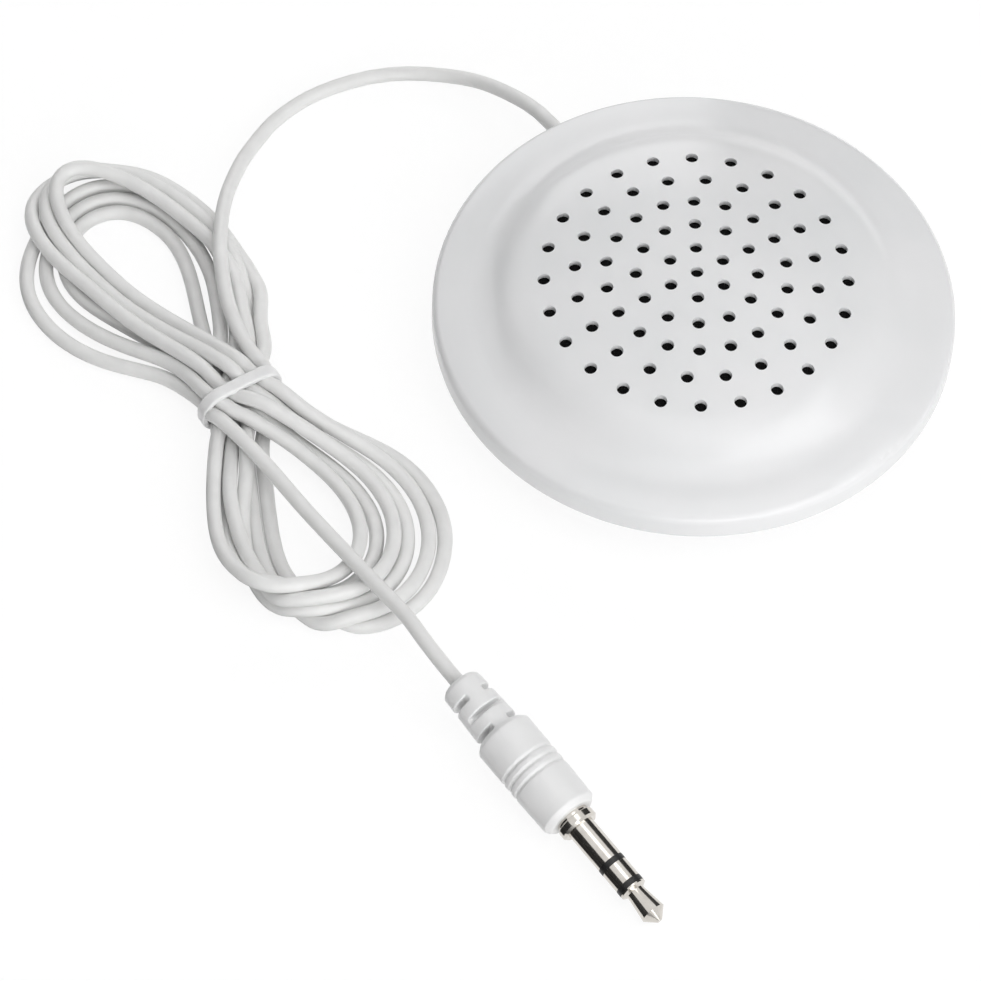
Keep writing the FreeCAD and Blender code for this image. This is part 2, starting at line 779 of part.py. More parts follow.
def place_plug(shape):
    """Move a piece from the plug's own frame, along X, to the end of the cord."""
    end, along = plug_line()
    shape.translate(V(relief_length, 0, 0))
    shape.rotate(V(0, 0, 0), V(0, 1, 0), -math.degrees(math.asin(along.z)))
    shape.rotate(V(0, 0, 0), UP, plug_heading)
    shape.translate(end)
    return shape


def turned(points):
    """Turn an outline of (along, radius) points about the plug's axis."""
    corners = [V(x, 0, r) for x, r in points]
    face = Part.Face(Part.makePolygon(corners + corners[:1]))
    return face.revolve(V(0, 0, 0), V(1, 0, 0), 360)


def rod(diameter, start, end):
    return Part.makeCylinder(diameter / 2, end - start, V(start, 0, 0), V(1, 0, 0))


def contact_stations():
    """Where each contact begins along the plug's axis."""
    collar_end = body_length + collar_step_length + collar_length
    sleeve_end = collar_end + sleeve_length
    ring_start = sleeve_end + insulator_length
    ring_end = ring_start + ring_length
    tip_start = ring_end + insulator_length
    return collar_end, sleeve_end, ring_start, ring_end, tip_start


def jack_sleeve():
    collar_end, sleeve_end = contact_stations()[:2]
    outside = turned([
        (body_length - sleeve_tail, 0), (body_length - sleeve_tail, contact_diameter / 2),
        (body_length, contact_diameter / 2), (body_length, collar_step_diameter / 2),
        (body_length + collar_step_length, collar_step_diameter / 2),
        (body_length + collar_step_length, collar_diameter / 2 - collar_back_edge),
        (body_length + collar_step_length + collar_back_edge, collar_diameter / 2),
        (collar_end - collar_edge, collar_diameter / 2),
        (collar_end, collar_diameter / 2 - collar_edge),
        (collar_end, contact_diameter / 2), (sleeve_end, contact_diameter / 2),
        (sleeve_end, 0)])
    return outside.cut(rod(sleeve_bore, 0, sleeve_end + 1))


def jack_insulator_rear():
    sleeve_end, ring_start = contact_stations()[1:3]
    tube_part = rod(sleeve_bore, body_length - ring_tail, sleeve_end)
    flange = rod(contact_diameter, sleeve_end, ring_start)
    return tube_part.fuse(flange).removeSplitter().cut(rod(ring_tube_diameter, 0, ring_start + 1))


def jack_ring():
    ring_start, ring_end = contact_stations()[2:4]
    tube_part = rod(ring_tube_diameter, body_length - ring_tail, ring_start)
    head = rod(contact_diameter, ring_start, ring_end)
    return tube_part.fuse(head).removeSplitter().cut(rod(ring_bore, 0, ring_end + 1))


def jack_insulator_front():
    ring_end, tip_start = contact_stations()[3:5]
    tube_part = rod(ring_bore, body_length - tip_tail, ring_end)
    flange = rod(contact_diameter, ring_end, tip_start)
    return tube_part.fuse(flange).removeSplitter().cut(rod(rod_diameter, 0, tip_start + 1))


def jack_tip():
    start = contact_stations()[4]
    neck = start + flare_length
    taper = neck + tip_neck_length
    widest = taper + tip_taper_length
    end = widest + tip_cone_length
    base_r = contact_diameter / 2
    return turned([
        (body_length - tip_tail, 0), (body_length - tip_tail, rod_diameter / 2),
        (start, rod_diameter / 2), (start, base_r), (start + tip_land, base_r),
        (neck, neck_diameter / 2), (taper, neck_diameter / 2),
        (widest, tip_widest_diameter / 2), (end, tip_end_diameter / 2), (end, 0)])


def make_overmould(contacts):
    """Grip body with three grooves, and the slotted strain relief behind it."""
    rear_r = body_diameter / 2
    front_r = body_front_diameter / 2
    root_r = relief_root_diameter / 2
    tip_r = relief_tip_diameter / 2
    grip_end = grip_first + grip_count * grip_pitch
    body = turned([
        (-relief_length, 0), (-relief_length, tip_r - relief_edge),
        (-relief_length + relief_edge, tip_r), (0, root_r), (0, rear_r - body_edge),
        (body_edge, rear_r), (grip_end, rear_r), (body_length - body_edge, front_r),
        (body_length, front_r - body_edge), (body_length, 0)])
    for i in range(grip_count):
        start = grip_first + i * grip_pitch
        groove = rod(2 * body_diameter, start, start + grip_width)
        body = body.cut(groove.cut(rod(body_diameter - 2 * grip_depth, 0, body_length)))
    for i, place in enumerate(slot_places):
        body = body.cut(relief_slot(place - relief_length, 90 * i))
    return body.cut(contacts)


def relief_slot(start, turn):
    """Pair of slots on opposite sides of the strain relief."""
    size = relief_root_diameter
    pair = []
    for side in (1, -1):
        low = slot_core if side > 0 else -slot_core - size
        pair.append(Part.makeBox(slot_width, size, 2 * size, V(start, low, -size)))
    slots = Part.makeCompound(pair)
    slots.rotate(V(0, 0, 0), V(1, 0, 0), turn + relief_roll)
    return slots


def main():
    os.makedirs("parts", exist_ok=True)
    save(make_front_shell(), "front_shell")
    save(make_rear_shell(), "rear_shell")
    save(make_screws(), "case_screws")
    save(make_dust_screen(), "dust_screen")
    save(make_gasket(), "driver_gasket")
    save(make_basket(), "driver_basket")
    save(make_diaphragm(), "diaphragm")
    save(make_voice_coil(), "voice_coil")
    save(make_pole_plate(), "pole_plate")
    save(make_magnet(), "magnet")
    save(make_yoke(), "yoke")
    save(make_damping_pad(), "damping_pad")
    save(make_board(), "terminal_board")
    save(make_solder(), "solder_joints")
    save(make_wire(1, "lead_wire_signal"), "lead_wire_signal")
    save(make_wire(-1, "lead_wire_ground"), "lead_wire_ground")
    save(make_cord_stop(), "cord_stop")
    save(tube(lead_route, cord_diameter, "cord_lead"), "cord_lead")
    save(make_hank(), "cord_hank")
    save(make_tie(), "cord_tie")
    save(tube(tail_route(), cord_diameter, "cord_tail"), "cord_tail")
    contacts = {
        "jack_sleeve": jack_sleeve(), "jack_insulator_rear": jack_insulator_rear(),
        "jack_ring": jack_ring(), "jack_insulator_front": jack_insulator_front(),
        "jack_tip": jack_tip()}
    overmould = make_overmould(Part.makeCompound(list(contacts.values())))
    save(place_plug(overmould), "plug_overmould")
    for name, shape in contacts.items():
        save(place_plug(shape), name)


main()
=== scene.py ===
# %% [markdown]
# # A pillow speaker and its cord
#
# A flat round speaker lies on a table with its tied cord and its 3.5 mm plug.
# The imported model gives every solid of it, in metres, with the disc's axis along Z.
# This lesson adds the camera, the free cord, the finishes and the light.

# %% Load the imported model
import math

import bmesh
import bpy
import numpy as np
from mathutils import Matrix, Vector


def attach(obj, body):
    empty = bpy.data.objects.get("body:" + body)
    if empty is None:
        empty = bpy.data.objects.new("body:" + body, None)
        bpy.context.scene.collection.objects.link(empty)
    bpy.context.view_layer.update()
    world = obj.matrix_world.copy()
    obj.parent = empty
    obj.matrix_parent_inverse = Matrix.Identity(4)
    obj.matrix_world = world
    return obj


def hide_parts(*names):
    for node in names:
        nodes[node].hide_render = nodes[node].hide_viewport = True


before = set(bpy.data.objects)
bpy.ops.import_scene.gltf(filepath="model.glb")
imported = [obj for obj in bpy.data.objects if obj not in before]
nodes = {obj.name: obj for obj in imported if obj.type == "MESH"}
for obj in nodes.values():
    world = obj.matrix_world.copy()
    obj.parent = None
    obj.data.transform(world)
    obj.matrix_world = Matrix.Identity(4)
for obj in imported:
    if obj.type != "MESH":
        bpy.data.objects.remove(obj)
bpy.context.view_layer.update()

# %% [markdown]
# ## Units and colours
#
# Drawings of small goods are in millimetres, and Blender works in metres, so every size
# goes through one constant. A colour picked on a screen is sRGB, and a shader wants
# linear light, so one function turns one into the other.

# %% Units and colours
MM = 0.001


def colour(code):
    """Linear RGBA of an sRGB hex colour."""
    parts = [int(code[i:i + 2], 16) / 255 for i in (1, 3, 5)]
    linear = [c / 12.92 if c <= 0.04045 else ((c + 0.055) / 1.055) ** 2.4 for c in parts]
    return (*linear, 1.0)


def metres(points):
    """The same points as vectors in metres."""
    return [Vector(p) * MM for p in points]


# %% [markdown]
# ## Camera
#
# The photograph is taken from above and in front with a long lens, so near and far holes
# of the grille are almost the same size. The place and the three axes of the camera were
# worked out from the rings of holes, whose spacing is known.

# %% Camera
PLACE = Vector((-46.908, -452.481, 642.736)) * MM
RIGHT = Vector((0.99961, -0.01140, 0.02535))
UPWARDS = Vector((-0.00460, 0.83152, 0.55548))
BACK = Vector((-0.02741, -0.55538, 0.83115))

lens = bpy.data.cameras.new("photo_lens")
lens.sensor_width = 36.0
lens.lens = 227.28
lens.clip_start = 0.01
lens.clip_end = 20.0
camera = bpy.data.objects.new("photo_camera", lens)
turn = Matrix((RIGHT, UPWARDS, BACK)).transposed().to_4x4()
camera.matrix_world = Matrix.Translation(PLACE) @ turn
bpy.context.scene.collection.objects.link(camera)
bpy.context.scene.camera = camera
print("camera at", [round(v, 3) for v in camera.location])

# %% [markdown]
# ## The cord's free ends
#
# The cord leaves the rim of the disc, drops to the table in one wide curve and climbs onto
# its own hank. From the hank a short stretch runs straight to the plug. These are the
# points of the CAD route, and the cord's spline uses them as its control points.

# %% The cord's free ends, in millimetres
CORD_WIDTH = 1.9

lead_route = [
    (-13.6, 23.556, 6.4), (-17.75, 30.744, 6.4), (-23.2, 37.0, 3.6), (-28.3, 41.1, 1.2),
    (-38.3, 42.1, 0.96), (-47.7, 38.7, 0.96), (-53.1, 34.1, 0.96)]
tail_route = [
    (-36.1, -46.2, 6.6), (-33.103, -51.539, 7.037), (-30.03, -55.43, 6.395)]

# %% [markdown]
# ## The hank
#
# The rest of the cord is wound in a figure eight and tied at the waist. Drawing thirteen
# passes one by one would be slow and would look stiff. Here each loop is a fan: its first
# and last turns are drawn from above, and the turns between are mixed from those two.
# The list at the end has the turns in the order in which the cord was wound.

# %% Drawn turns, seen from above, in millimetres
LOW_FIRST = [
    (-51.6, -17.6), (-48.0, -20.4), (-44.5, -23.7), (-42.0, -28.2), (-41.5, -32.4),
    (-43.2, -37.2), (-46.9, -40.3), (-50.9, -41.8), (-54.6, -41.0), (-57.6, -38.4),
    (-59.5, -34.4), (-60.2, -28.9), (-60.2, -21.5), (-59.9, -16.4)]
LOW_LAST = [
    (-49.6, -12.9), (-44.0, -15.6), (-37.6, -18.6), (-33.4, -23.2), (-31.3, -28.4),
    (-31.3, -33.2), (-33.0, -38.6), (-36.8, -42.6), (-41.6, -44.4), (-46.6, -43.6),
    (-50.4, -40.4), (-52.8, -35.6), (-54.0, -29.5), (-54.2, -22.5), (-55.2, -17.6)]
UPPER_FIRST = [
    (-56.2, -4.6), (-57.0, 2.0), (-57.5, 6.8), (-58.6, 10.8), (-61.4, 14.1), (-65.1, 17.3),
    (-68.2, 20.1), (-71.8, 22.3), (-75.4, 23.9), (-78.4, 24.4), (-81.0, 23.4),
    (-82.0, 20.6), (-81.3, 17.8), (-79.5, 14.9), (-76.4, 10.5), (-71.9, 5.5),
    (-67.3, 1.8), (-62.7, -2.2), (-58.9, -5.8)]
UPPER_LAST = [
    (-54.8, -4.7), (-54.9, 0.3), (-55.7, 5.9), (-57.3, 10.9), (-58.8, 13.9), (-61.0, 17.5),
    (-63.3, 20.3), (-66.2, 23.2), (-68.8, 24.8), (-73.0, 25.8), (-77.8, 25.6),
    (-81.8, 23.6), (-84.0, 20.6), (-84.5, 17.4), (-83.3, 13.4), (-80.4, 9.6),
    (-77.0, 6.5), (-72.4, 1.3), (-67.2, -3.3), (-62.4, -6.9)]
INNER_FIRST = [
    (-60.9, -4.4), (-62.3, 1.8), (-63.1, 6.8), (-64.2, 11.5), (-66.1, 15.6), (-68.6, 18.3),
    (-71.5, 19.7), (-74.5, 19.6), (-77.4, 18.0), (-79.6, 15.0), (-80.4, 11.1),
    (-79.2, 7.3), (-76.8, 4.5), (-72.4, 1.4), (-68.3, -1.6), (-64.7, -4.6)]
INNER_LAST = [
    (-57.2, -4.6), (-57.2, 0.6), (-57.5, 5.9), (-58.4, 10.6), (-60.6, 15.0), (-64.2, 18.9),
    (-68.4, 22.0), (-73.0, 23.6), (-76.8, 23.4), (-79.8, 21.2), (-82.0, 17.8),
    (-83.9, 13.4), (-84.8, 10.0), (-84.6, 6.0), (-82.6, 1.9), (-79.1, -1.9),
    (-74.3, -4.7), (-69.7, -6.0), (-65.4, -7.4)]
LEAD_OVER = [
    (-57.0, 27.4), (-59.2, 20.6), (-60.0, 12.9), (-59.7, 8.2), (-59.0, 2.6), (-57.4, -2.4),
    (-55.6, -6.1)]
TAIL_OVER = [
    (-59.4, -15.8), (-57.0, -18.4), (-53.2, -23.2), (-49.0, -29.2), (-44.6, -34.9),
    (-41.0, -39.6)]

# Each turn: the two drawn turns, the share of the second, and its layer before settling
low = [(LOW_FIRST, LOW_LAST, share, height) for share, height in (
    (0.0, 9.0), (0.21, 7.6), (0.42, 6.2), (0.58, 4.8), (0.82, 3.4), (1.0, 2.0))]
upper = [(UPPER_FIRST, UPPER_LAST, share, height) for share, height in (
    (0.0, 9.0), (0.5, 7.4), (1.0, 5.8))]
inner = [(INNER_FIRST, INNER_LAST, share, height) for share, height in (
    (0.0, 1.4), (0.5, 2.8), (1.0, 4.2))]
TOP_LAYER = 11.0
wound = [
    (LEAD_OVER, LEAD_OVER, 0.0, TOP_LAYER), low[5], upper[0], low[4], upper[1], low[3],
    upper[2], low[2], inner[0], low[1], inner[1], low[0], inner[2],
    (TAIL_OVER, TAIL_OVER, 0.0, TOP_LAYER)]
print("stretches between the passes at the tie:", len(wound))

# %% [markdown]
# ## Passes at the tie
#
# The tie draws thirteen passes into three rows: four, five and four. Each pass has a place
# across the bundle and a row, listed in the order in which the cord makes them.

# %% Passes at the tie
TIE_CENTRE = np.array([-57.1, -11.4])
TIE_TURN = math.radians(31.7)
TIE_OPENING = 10.2                  # inside, across the bundle
ACROSS = np.array([math.cos(TIE_TURN), math.sin(TIE_TURN)])
ROW_HEIGHTS = (1.65, 3.30, 4.95)
ROW_SLACK = 0.2                     # the top row may rise this far under the tie
passes = [
    (3.8, 1), (2.8, 0), (2.8, 2), (0.9, 0), (0.9, 2), (1.9, 1), (-1.0, 2),
    (-1.0, 0), (0.0, 1), (-2.9, 0), (-2.9, 2), (-1.9, 1), (-3.8, 1)]


def even_line(keys, count):
    """Evenly spaced points on a smooth curve through the keys."""
    keys = np.array(keys, float)
    ends = np.vstack([2 * keys[0] - keys[1], keys, 2 * keys[-1] - keys[-2]])
    dense = []
    for a, b, c, d in zip(ends, ends[1:], ends[2:], ends[3:]):
        for t in np.linspace(0, 1, 12, endpoint=False):
            dense.append(0.5 * (
                2 * b + (c - a) * t + (2 * a - 5 * b + 4 * c - d) * t ** 2
                + (3 * b - a - 3 * c + d) * t ** 3))
    dense = np.array(dense + [keys[-1]])
    steps = np.linalg.norm(np.diff(dense, axis=0), axis=1)
    run = np.concatenate([[0], np.cumsum(steps)])
    places = np.linspace(0, run[-1], count)
    return np.column_stack([np.interp(places, run, column) for column in dense.T])


LEAD_START = (-55.3, 30.7, 1.0)     # where the turns take over from the lead
TAIL_END = (-37.6, -44.1, 6.3)      # where the tail takes over from the turns
KEYS_A_TURN = 30


def wind():
    """The whole hank before it settles, a point each millimetre, and where it is tied."""
    keys = [LEAD_START]
    tied = []
    for i, (first, last, share, height) in enumerate(wound):
        flat = (even_line(first, KEYS_A_TURN) * (1 - share)
                + even_line(last, KEYS_A_TURN) * share)
        keys += [(x, y, height) for x, y in flat]
        if i < len(passes):
            across, row = passes[i]
            tied.append((*(TIE_CENTRE + ACROSS * across), ROW_HEIGHTS[row]))
            keys.append(tied[-1])
    keys.append(TAIL_END)
    length = np.linalg.norm(np.diff(keys, axis=0), axis=1).sum()
    line = even_line(keys, int(length))
    tied = np.array(tied)
    pins = [int(np.argmin(np.linalg.norm(line - at, axis=1))) for at in tied]
    return line, pins, tied


turns, pins, tied = wind()
print("hank before settling: %d points" % len(turns))

# %% [markdown]
# ## Let the turns settle
#
# The turns now float in layers. A short simulation lets them down: each point sinks a
# little, holds to its drawn place, keeps in line with its neighbours, and is pushed away
# from any other pass nearer than one cord width. The tie holds its thirteen points at first
# and then lets them shift, but only inside its opening. The last stretch is drawn taut to
# the plug, so it sinks less. At the end the weight is off and the cord only evens out its
# bends.

# %% Let the turns settle
KEEP_APART = CORD_WIDTH * 1.04      # a little air between passes
LOOK_WITHIN = CORD_WIDTH + 1.0      # pairs nearer than this are watched
LOOK_EVERY = 5                      # steps between two looks for near pairs
SAME_PASS = 6                       # points this near along the cord don't push each other
PUSH = 1.2                          # above 1, so that crowded passes part sooner
ROUNDS = 8                          # of pushing and pulling in each step
LONGEST_STEP = 1.08                 # between neighbours, which start 1 mm apart
BESIDE_TIE = 2                      # points on each side that the tie holds too
SINKING = 0.04                      # in each step
TAUT_SINKING = 0.012
TAUT_POINTS = 48                    # the last stretch, drawn taut to the plug
HOLD_TO_PLAN = 0.06                 # share of the way back to the drawn place
BEND_LOADED = (0.08, 0.2)           # shares of straightening in plan and in height
BEND_FREE = (0.25, 0.3)
BEND_WIDE = (0.04, 0.08)
WIDE_REACH = 3
STEPS = 330                         # with the weight on
EASING_STEPS = 130                  # with the weight off
FREE_BEFORE_END = 60                # the tie's own points are free this long before STEPS
RELEASE_STEPS = 120                 # and are let go over so many


def passes_near(line, reach):
    """Pairs of points on different passes that are nearer than reach."""
    spots = line.astype(np.float32)
    apart = ((spots[:, None] - spots[None]) ** 2).sum(2)
    near = np.argwhere(apart < reach ** 2)
    return near[near[:, 1] - near[:, 0] > SAME_PASS]


def push_apart(line, near):
    """Move both points of each pair that is too near away from each other."""
    a, b = near[:, 0], near[:, 1]
    between = line[a] - line[b]
    distance = np.linalg.norm(between, axis=1)
    hit = distance < KEEP_APART
    a, b, between, distance = a[hit], b[hit], between[hit], np.maximum(distance[hit], 1e-6)
    push = between * ((KEEP_APART - distance) * 0.5 / distance)[:, None]
    count = len(line)
    shares = np.maximum(np.bincount(a, minlength=count) + np.bincount(b, minlength=count), 1)
    for axis in range(3):
        move = np.bincount(a, push[:, axis], count) - np.bincount(b, push[:, axis], count)
        line[:, axis] += PUSH * move / shares
    line[:, 2] = np.maximum(line[:, 2], CORD_WIDTH / 2)


def keep_length(line):
    """Pull neighbours that have drifted apart back to one step, so no pass slips between."""
    for start in (0, 1):
        a = line[start:-1:2]
        b = line[start + 1::2]
        run = b - a
        length = np.linalg.norm(run, axis=1)
        slack = (np.maximum(length - LONGEST_STEP, 0) * 0.5 / length)[:, None] * run
        line[start:-1:2] += slack
        line[start + 1::2] -= slack


def straighten(line, share_flat, share_up, reach=1):
    """Move each point towards the middle of two near it, in plan and in height."""
    middle = (line[:-2 * reach] + line[2 * reach:]) / 2 - line[reach:-reach]
    line[reach:-reach] += middle * (share_flat, share_flat, share_up)


def keep_in_tie(line, pins):
    """Keep the passes inside the opening of the tie, where they cross it and beside it."""
    held = np.add.outer(pins, range(-BESIDE_TIE, BESIDE_TIE + 1)).ravel()
    across = (line[held, :2] - TIE_CENTRE) @ ACROSS
    room = TIE_OPENING / 2 - CORD_WIDTH / 2
    line[held, :2] += np.outer(np.clip(across, -room, room) - across, ACROSS)
    line[held, 2] = np.clip(line[held, 2], ROW_HEIGHTS[0], ROW_HEIGHTS[-1] + ROW_SLACK)


def settle(line, pins, tied):
    """Let the line down under its weight, then even it out with the weight off."""
    drawn = line.copy()
    sinking = np.full(len(line), SINKING)
    sinking[-TAUT_POINTS:] = TAUT_SINKING
    for step in range(STEPS + EASING_STEPS):
        line[:, :2] += HOLD_TO_PLAN * (drawn[:, :2] - line[:, :2])
        if step < STEPS:
            line[:, 2] -= sinking
            straighten(line, *BEND_LOADED)
            straighten(line, *BEND_LOADED)
        else:
            straighten(line, *BEND_FREE)
        straighten(line, *BEND_WIDE, WIDE_REACH)
        if step % LOOK_EVERY == 0:
            near = passes_near(line, LOOK_WITHIN)
        for _ in range(ROUNDS):
            push_apart(line, near)
            keep_length(line)
            keep_in_tie(line, pins)
        hold = max(0.0, min(1.0, (STEPS - FREE_BEFORE_END - step) / RELEASE_STEPS))
        line[pins] += hold * (tied - line[pins])
        line[0] = drawn[0]
        line[-1] = drawn[-1]
    return line


turns = settle(turns, pins, tied)
print("hank settled: %.0f mm of cord, highest %.1f mm" % (
    np.linalg.norm(np.diff(turns, axis=0), axis=1).sum(), turns[:, 2].max()))

# %% [markdown]
# ## One spline for the whole cord
#
# The two free ends and the settled turns are the control points of one open NURBS curve.
# Its bevel gives the round section, and each point's radius brings it to millimetres. Order
# 3 keeps the curve close to its points, and it is set after the points are there.

# %% One spline for the whole cord
TURN_SPACING = 2                    # every second point of the turns guides the spline

route = lead_route + [tuple(p) for p in turns[::TURN_SPACING]] + tail_route
curve = bpy.data.curves.new("cord", "CURVE")
curve.dimensions = "3D"
spline = curve.splines.new("NURBS")
spline.points.add(len(route) - 1)
for point, place in zip(spline.points, metres(route)):
    point.co = (*place, 1.0)
    point.radius = MM
spline.order_u = 3
spline.use_endpoint_u = True
spline.resolution_u = 4
curve.bevel_depth = CORD_WIDTH / 2
curve.bevel_resolution = 4
curve.use_fill_caps = True
cord = bpy.data.objects.new("cord", curve)
bpy.context.scene.collection.objects.link(cord)
print("control points of the cord:", len(route))

# %% [markdown]
# ## Smooth faces on the moulded pieces
#
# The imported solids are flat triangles, which is right for flat and sharp places and wrong
# for a moulded dome. A CAD mesh is never changed, so each moulded piece gets a copy: its
# loose triangles are merged, the stored normals go, which fit the loose triangles only, and
# edges under 25 degrees are shaded smooth.

# %% Smooth faces on the moulded pieces
SMOOTH_UNDER = math.radians(25)
MERGE_WITHIN = 0.001 * MM
moulded = [
    "front_shell", "rear_shell", "cord_stop", "cord_tie", "plug_overmould", "jack_sleeve",
    "jack_ring", "jack_tip", "jack_insulator_rear", "jack_insulator_front", "case_screws",
    "diaphragm", "solder_joints", "lead_wire_signal", "lead_wire_ground"]
smooth = {}


def pick(piece):
    """Select this piece alone and make it the active one, for the operators."""
    bpy.ops.object.select_all(action="DESELECT")
    piece.select_set(True)
    bpy.context.view_layer.objects.active = piece


for name in moulded:
    mesh = nodes[name].data.copy()
    piece = bpy.data.objects.new(name + "_smooth", mesh)
    bpy.context.scene.collection.objects.link(piece)
    form = bmesh.new()
    form.from_mesh(mesh)
    bmesh.ops.remove_doubles(form, verts=form.verts, dist=MERGE_WITHIN)
    form.to_mesh(mesh)
    form.free()
    pick(piece)
    bpy.ops.mesh.customdata_custom_splitnormals_clear()
    bpy.ops.object.shade_smooth_by_angle(angle=SMOOTH_UNDER)
    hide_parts(name)
    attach(piece, "root")
    smooth[name] = piece
faces = sum(len(piece.data.polygons) for piece in smooth.values())
print("smooth copies:", len(smooth), "faces:", faces)

# %% [markdown]
# ## Soft edges on the plug's body and the tie
#
# Soft PVC leaves its mould with every edge slightly round, and the solids have straight
# chamfers. A voxel remesh turns each copy into small even squares, and a smooth modifier
# then rounds all edges alike, by about the width of two voxels.

# %% Soft edges on the plug's body and the tie
for name, voxel, passes_over in (("plug_overmould", 0.13, 6), ("cord_tie", 0.10, 9)):
    piece = smooth[name]
    pick(piece)
    bpy.ops.object.modifier_add(type="REMESH")
    remesh = piece.modifiers[-1]
    remesh.mode = "VOXEL"
    remesh.voxel_size = voxel * MM
    remesh.use_smooth_shade = True
    bpy.ops.object.modifier_apply(modifier=remesh.name)
    bpy.ops.object.modifier_add(type="SMOOTH")
    even = piece.modifiers[-1]
    even.factor = 0.5
    even.iterations = passes_over
    bpy.ops.object.modifier_apply(modifier=even.name)
    print(name, "faces:", len(piece.data.polygons))

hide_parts("cord_lead", "cord_hank", "cord_tail")
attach(cord, "root")

# %% [markdown]
# ## One function for shader nodes
#
# Every finish is a small graph of nodes. One function adds a node, sets its options and
# values, and links its inputs, so a graph reads as a list from top to bottom. Patterns read
# Object coordinates, which are metres here, so a scale is one over a size in metres.

# %% One function for shader nodes
def add(tree, kind, values=None, links=None, **options):
    """Add a shader node with its options, its values and the outputs that feed it."""
    node = tree.nodes.new("ShaderNode" + kind)
    for key, option in options.items():
        setattr(node, key, option)
    for key, value in (values or {}).items():
        node.inputs[key].default_value = value
    for key, (source, output) in (links or {}).items():
        tree.links.new(source.outputs[output], node.inputs[key])
    return node


def begin(name, **values):
    """New material: its node tree, its main shader and Object coordinates."""
    material = bpy.data.materials.new(name)
    material.use_nodes = True
    tree = material.node_tree
    shader = tree.nodes["Principled BSDF"]
    for key, value in values.items():
        shader.inputs[key.replace("_", " ")].default_value = value
    place = add(tree, "TexCoord")
    return material, tree, shader, place


def per(size):
    """Scale of a pattern whose repeat has this size in millimetres."""
    return 1 / (size * MM)


def per_band(size):
    """Scale of a wave texture whose bands repeat at this size in millimetres."""
    return per(size) / math.tau * 2


def tint(tree, shader, source, output, low, high, start=0.3, end=0.7):
    """Run the main colour between two colours by a pattern."""
    ramp = add(tree, "ValToRGB", links={"Fac": (source, output)})
    ramp.color_ramp.elements[0].position = start
    ramp.color_ramp.elements[1].position = end
    ramp.color_ramp.elements[0].color = colour(low)
    ramp.color_ramp.elements[1].color = colour(high)
    tree.links.new(ramp.outputs["Color"], shader.inputs["Base Color"])


def polish(tree, shader, source, output, low, high):
    """Run the roughness between two values by a pattern."""
    span = add(tree, "MapRange", {"To Min": low, "To Max": high}, {"Value": (source, output)})
    tree.links.new(span.outputs["Result"], shader.inputs["Roughness"])


def relief(tree, shader, source, output, depth, strength=1.0):
    """Raise the surface by a pattern, with its depth in millimetres."""
    bump = add(tree, "Bump", {"Distance": depth * MM, "Strength": strength},
               {"Height": (source, output)})
    tree.links.new(bump.outputs["Normal"], shader.inputs["Normal"])


def dress(name, material):
    """Give a piece, or its smooth copy where it has one, this finish alone."""
    piece = smooth.get(name, nodes[name])
    piece.data.materials.clear()
    piece.data.materials.append(material)


# %% [markdown]
# ## Case: white ABS, injection moulded
#
# The case is ABS moulded in a tool with a satin polish. To the eye it is a clean, slightly
# cool white with a soft gloss. Flow marks are broad and very faint, and the grain of the
# tool is finer than 0.1 mm, so it is drawn at 0.3 mm and very shallow to show at all.

# %% Case: white ABS, injection moulded
abs_white, tree, shader, place = begin("moulded_abs_white", IOR=1.53)
flow = add(tree, "TexNoise", {"Scale": per(14), "Detail": 2.0}, {"Vector": (place, "Object")})
tint(tree, shader, flow, "Fac", "#eeeff0", "#f3f3f4")
polish(tree, shader, flow, "Fac", 0.17, 0.26)
grain = add(tree, "TexNoise", {"Scale": per(0.3), "Detail": 1.0}, {"Vector": (place, "Object")})
relief(tree, shader, grain, "Fac", 0.004, 0.5)
for name in ("front_shell", "rear_shell"):
    dress(name, abs_white)

# %% [markdown]
# ## Cord, tie and plug: soft white PVC
#
# The cord's jacket is extruded PVC, the tie is coated with it and the plug's body is
# moulded from it. It is softer looking than ABS, with a wider, weaker gloss. An extruded
# jacket has a faint waviness about as long as the cord is thick. A moulded plug has a fine
# sparked texture from its tool.

# %% Cord, tie and plug: soft white PVC
cord_pvc, tree, shader, place = begin("extruded_soft_pvc_white", IOR=1.52)
ripple = add(tree, "TexNoise", {"Scale": per(2.2), "Detail": 2.0}, {"Vector": (place, "Object")})
tint(tree, shader, ripple, "Fac", "#ececeb", "#f1f1f0")
polish(tree, shader, ripple, "Fac", 0.34, 0.46)
relief(tree, shader, ripple, "Fac", 0.02, 0.35)
cord.data.materials.append(cord_pvc)
for name in ("cord_lead", "cord_hank", "cord_tail", "cord_stop"):
    dress(name, cord_pvc)

tie_pvc, tree, shader, place = begin("coated_tie_white", IOR=1.52)
wipe = add(tree, "TexNoise", {"Scale": per(1.5), "Detail": 3.0}, {"Vector": (place, "Object")})
tint(tree, shader, wipe, "Fac", "#eeeeee", "#f5f5f5")
polish(tree, shader, wipe, "Fac", 0.25, 0.38)
relief(tree, shader, wipe, "Fac", 0.03, 0.5)
dress("cord_tie", tie_pvc)

plug_pvc, tree, shader, place = begin("moulded_soft_pvc_white", IOR=1.52)
spark = add(tree, "TexNoise", {"Scale": per(0.35), "Detail": 2.0}, {"Vector": (place, "Object")})
cloud = add(tree, "TexNoise", {"Scale": per(5), "Detail": 2.0}, {"Vector": (place, "Object")})
tint(tree, shader, cloud, "Fac", "#efefef", "#f3f3f3")
polish(tree, shader, cloud, "Fac", 0.30, 0.40)
relief(tree, shader, spark, "Fac", 0.008, 0.6)
dress("plug_overmould", plug_pvc)

